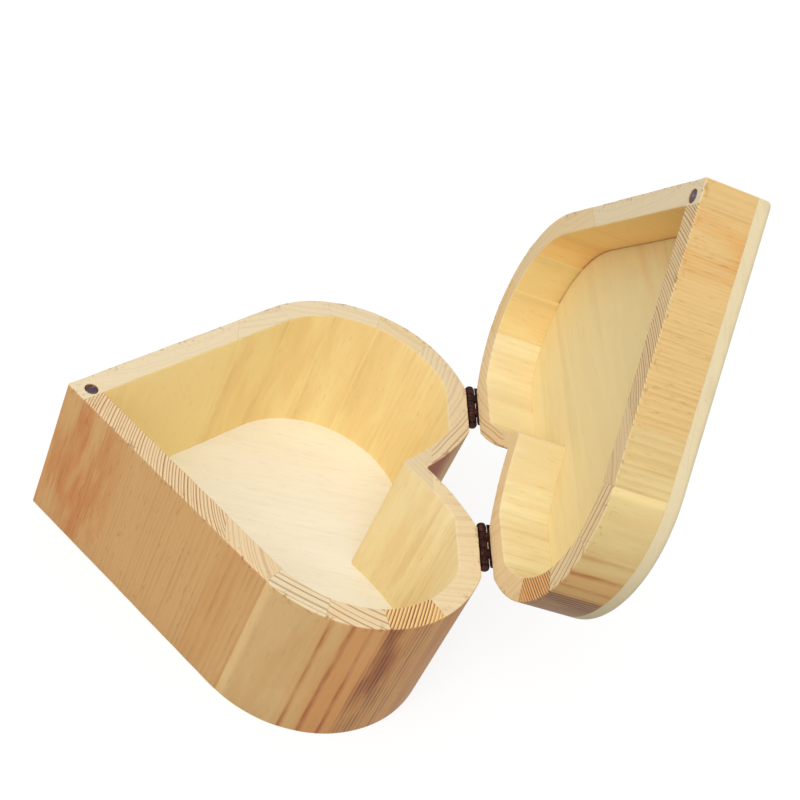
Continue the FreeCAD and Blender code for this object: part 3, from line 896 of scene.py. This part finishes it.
def blockMaterial(body, side, place):
    key = f"{side}_{place}".strip("_")
    block = f"{body}_{key}"
    rings = blockRings[key]
    front, back = blockEnds(side, place)
    values = {
        **plainGrain, **ringColours[body], **blockFinish.get(key, {}), **onlyFinish.get(block, {}),
        "Ring Width": rings["Ring Width"], "Pith": pithOf(side, place, rings["run"], rings["pithAway"]),
        "Front": front, "Back": back,
    }
    values["Outer"] = tinted(values["Outer"], tonesAndPaintedShade[outerToneAndShade.get(block, "plain")])
    values["Inner"] = tinted(values["Inner"], tonesAndPaintedShade[innerToneAndBounce.get(block, "plain")])
    values["Rim"] = tinted(values["Rim"], rimTint[body])
    mappings = [closedLid] if body == "lid" else []
    attributes = {"Inside": "inside", "On Rim": "onRim", "At Edge": "atEdge", "At Joint": "atJoint"}
    return surfaceMaterial(f"pine_{block}", pineWood, values, mappings, attributes)


screwHole = {
    "radius": 0.62, "headRadius": 1.25, "depth": 3.3, "point": 1.0, "cutPastFlat": 1.0, "sides": 24,
}


def screwHoles(side, onLid):
    # pilot holes under the hinge leaves, round the screws that stay in them: turned bars with a point
    low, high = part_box(f"{side}_base_leaf_screws")
    axisZ = hingeAxis.z / mm
    z = (low.z + high.z) / 2 / mm
    z = 2 * axisZ - z if onLid else z
    radius, head, depth = screwHole["radius"], screwHole["headRadius"], screwHole["depth"]
    start = -screwHole["cutPastFlat"]
    profile = [(0, start), (radius, start), (radius, depth - screwHole["point"]), (0, depth)]
    bar = turned(profile, screwHole["sides"])
    holes = []
    for x in (low.x / mm + head, high.x / mm - head):
        holes.append(np.stack([x + bar[..., 0], backY - bar[..., 2], z + bar[..., 1]], 2))
    return holes


def makeBlock(body, side, place):
    onLid = body == "lid"
    words = place.split("_")
    node = "_".join([body, side, words[0], "block", *words[1:]]).replace("__", "_")
    points, marks = wallPoints(side, place, onLid)
    if side == "left":
        points = points * np.array([-1, 1, 1])
    mesh = meshFromGrid(node, inMetres(points, onLid), True, marks)
    holes = []
    if place == "tip" and side == "left":
        holes = [magnetPoints(onLid, magnet["pocketGap"], magnet["cutPastRim"])]
    if place == "back":
        holes = screwHoles(side, onLid)
    if holes:
        tidyMesh(mesh)
        mesh = drilled(mesh, [meshFromGrid("bit", inMetres(hole, onLid)) for hole in holes])
    finishPiece(mesh, f"{node}_wood", body, blockMaterial(body, side, place), "pine_block", node)


for body in ("base", "lid"):
    for side in ("left", "right"):
        for place in ("tip", "side_1", "side_2", "side_3", "lobe", "back"):
            makeBlock(body, side, place)
    makeBlock(body, "", "notch")
print("wood blocks made")


# Floor board and lid board

board = {
    "centre": (0.0, 10.0), "floorInset": 3.4, "lidThickness": 3.7, "lidRound": 1.6, "roundSteps": 12,
    "edge": 0.1, "drawnIn": (0.97, 0.9, 0.75, 0.55, 0.3, 0.0),
}
boardGrain = {
    **plainGrain, "Rim": colour(233, 214, 176), "Ring Width": 2.2, "Waver": 6.0, "Late Share": 0.6,
    "Warm Share": 0.25, "Front": (0, 0, farOff), "Back": (0, 0, farOff), "Fibre": 0.14, "Flecks": 0.1,
    "On Rim": 0.0, "At Edge": 0.0, "At Joint": 0.0,
}
# the warm patch lies on the ceiling towards the tip: partly a stain in the board, partly painted bounce
# light from the walls
lidBoardGrain = {
    **boardGrain, "Outer": colour(232, 214, 172), "Inner": colour(252, 231, 173), "Late Outer": 0.12,
    "Late Inner": 0.12, "Pith": (30, 8, 0), "Warm Tint": colour(250, 212, 168), "Warm Share": 0.3,
    "Warm Place": (-52, -14, -26), "Warm Reach": 13.0,
}
floorBoardGrain = {
    **boardGrain, "Outer": colour(255, 255, 244), "Inner": colour(255, 255, 244), "Late Outer": 0.06,
    "Late Inner": 0.06, "Pith": (36, -10, 0), "Warm Share": 0.1,
}


def boardPoints(profile):
    # the outline at each depth of the profile, then drawn in to the middle on both faces
    steps = stepsOf(heartStretches())
    rows = sum(len(t) for t, path in steps)
    depths = np.array(profile)[:, 0]
    x, y = walk(steps, np.repeat(depths[None, :], rows, 0))
    x = np.concatenate([x, -x[-2:0:-1]])
    y = np.concatenate([y, y[-2:0:-1]])
    edge = np.stack([x.T, y.T, np.repeat(np.array(profile)[:, 1:], x.shape[0], 1)], 2)
    shrink = np.array(board["drawnIn"])[:, None, None]
    middle = np.array([*board["centre"], 0])
    flat = np.array([1, 1, 0])
    under = edge[:1] + (middle - edge[:1]) * (1 - shrink[::-1]) * flat
    over = edge[-1:] + (middle - edge[-1:]) * (1 - shrink) * flat
    below = np.zeros((len(under) + len(edge) + len(over), len(x)))
    below[: len(under)] = 1
    return np.concatenate([under, edge, over]), {"inside": below}


def makeLidBoard():
    low = ring["lidTop"]
    high = low + board["lidThickness"]
    radius = board["lidRound"]
    turn = np.linspace(0, math.pi / 2, board["roundSteps"])
    profile = [(board["edge"], low), (0, low + board["edge"])]
    profile += [(radius * (1 - math.cos(a)), high - radius * (1 - math.sin(a))) for a in turn]
    points, marks = boardPoints(profile)
    mesh = meshFromGrid("lid_panel_board", inMetres(points, True), marks=marks)
    grain = [closedLid, grainAlongX]
    material = surfaceMaterial("lid_board", pineWood, lidBoardGrain, grain, {"Inside": "inside"})
    finishPiece(mesh, "lid_panel_board", "lid", material, "lid_board", "lid_panel")


def makeFloorBoard():
    inset, edge, high = board["floorInset"], board["edge"], ring["floorThickness"]
    profile = [(inset + edge, 0), (inset, edge), (inset, high - edge), (inset + edge, high)]
    points, marks = boardPoints(profile)
    mesh = meshFromGrid("base_floor_board", inMetres(points, False), marks=marks)
    grain = [grainAlongY]
    material = surfaceMaterial("floor_board", pineWood, floorBoardGrain, grain, {"Inside": "inside"})
    finishPiece(mesh, "base_floor_board", "base", material, "floor_board", "base_floor")


makeLidBoard()
makeFloorBoard()
print("boards made")


# Hinges and screws keep their solids, in dark plating

bronze = {"Dark": colour(52, 24, 22), "Bright": colour(104, 62, 48), "Wear": 0.6}
screwFinish = {"Dark": colour(58, 30, 26), "Bright": colour(120, 78, 60), "Wear": 0.7}
plated = {"Metallic": 0.8}
hingeMaterial = surfaceMaterial("hinge_bronze", agedMetal, bronze, shader=plated)
screwMaterial = surfaceMaterial("screw_bronze", agedMetal, screwFinish, shader=plated)
for name, node in frame["nodes"].items():
    if "hinge" in name or "screws" in name:
        node.data.materials.clear()
        node.data.materials.append(screwMaterial if "screws" in name else hingeMaterial)
print("hinges finished")


# Light, floor and camera

stageSettings = {
    "floorSize": 4.0, "floorColour": (0.18, 0.18, 0.18, 1), "floorGlow": 0.75, "floorShade": 0.3,
    "worldStrength": 0.8, "keyStrength": 5.0, "keySize": 0.8, "keyPlace": (0.66, -0.36, 0.94),
}


def lookThrough(tree):
    # 1 for camera, glossy and transmission rays
    path = tree.nodes.new("ShaderNodeLightPath").outputs
    seen = calc(tree, "MAXIMUM", path["Is Camera Ray"], path["Is Glossy Ray"])
    return calc(tree, "MAXIMUM", seen, path["Is Transmission Ray"])


def makeFloor():
    half = stageSettings["floorSize"] / 2
    corners = [(-half, -half, 0), (half, -half, 0), (half, half, 0), (-half, half, 0)]
    mesh = bpy.data.meshes.new("floor")
    mesh.from_pydata(corners, [], [(0, 1, 2, 3)])
    floor = bpy.data.objects.new("floor", mesh)
    bpy.context.scene.collection.objects.link(floor)
    material = bpy.data.materials.new("white_floor")
    material.use_nodes = True
    tree = material.node_tree
    tree.nodes.clear()
    shade = stageSettings["floorShade"]
    plain = addNode(tree, "ShaderNodeBsdfDiffuse", {"Color": stageSettings["floorColour"]})
    faint = addNode(tree, "ShaderNodeBsdfDiffuse", {"Color": (shade, shade, shade, 1)})
    glow = addNode(tree, "ShaderNodeEmission", {"Strength": stageSettings["floorGlow"]})
    seen = addNode(tree, "ShaderNodeAddShader", {0: faint, 1: glow})
    mixed = addNode(tree, "ShaderNodeMixShader", {0: lookThrough(tree), 1: plain, 2: seen})
    output = tree.nodes.new("ShaderNodeOutputMaterial")
    plug(tree, mixed, output.inputs["Surface"])
    mesh.materials.append(material)


def makeLights():
    world = bpy.data.worlds.new("studio")
    bpy.context.scene.world = world
    world.use_nodes = True
    tree = world.node_tree
    values = {"Value": lookThrough(tree), "To Min": stageSettings["worldStrength"], "To Max": 1.0}
    plug(tree, addNode(tree, "ShaderNodeMapRange", values), tree.nodes["Background"].inputs["Strength"])
    plug(tree, (1, 1, 1, 1), tree.nodes["Background"].inputs["Color"])
    key = bpy.data.lights.new("key", "AREA")
    key.energy = stageSettings["keyStrength"]
    key.size = stageSettings["keySize"]
    lamp = bpy.data.objects.new("key", key)
    lamp.location = stageSettings["keyPlace"]
    lamp.rotation_euler = (-lamp.location).to_track_quat("-Z", "Y").to_euler()
    bpy.context.scene.collection.objects.link(lamp)


cameraSettings = {
    "place": (0.25200, -0.06943, 0.28624), "aim": (-0.01977, 0.02971, 0.03985), "roll": 27.0,
    "lens": 71.936, "sensor": 36,
}


def makeCamera():
    data = bpy.data.cameras.new("camera")
    data.lens = cameraSettings["lens"]
    data.sensor_width = cameraSettings["sensor"]
    camera = bpy.data.objects.new("camera", data)
    place = Vector(cameraSettings["place"])
    turn = (Vector(cameraSettings["aim"]) - place).to_track_quat("-Z", "Y").to_matrix()
    turn = turn @ Matrix.Rotation(math.radians(cameraSettings["roll"]), 3, "Z")
    camera.matrix_world = Matrix.Translation(place) @ turn.to_4x4()
    bpy.context.scene.collection.objects.link(camera)
    bpy.context.scene.camera = camera


makeFloor()
makeLights()
makeCamera()
bpy.context.scene.view_settings.view_transform = "Standard"
print("stage ready")
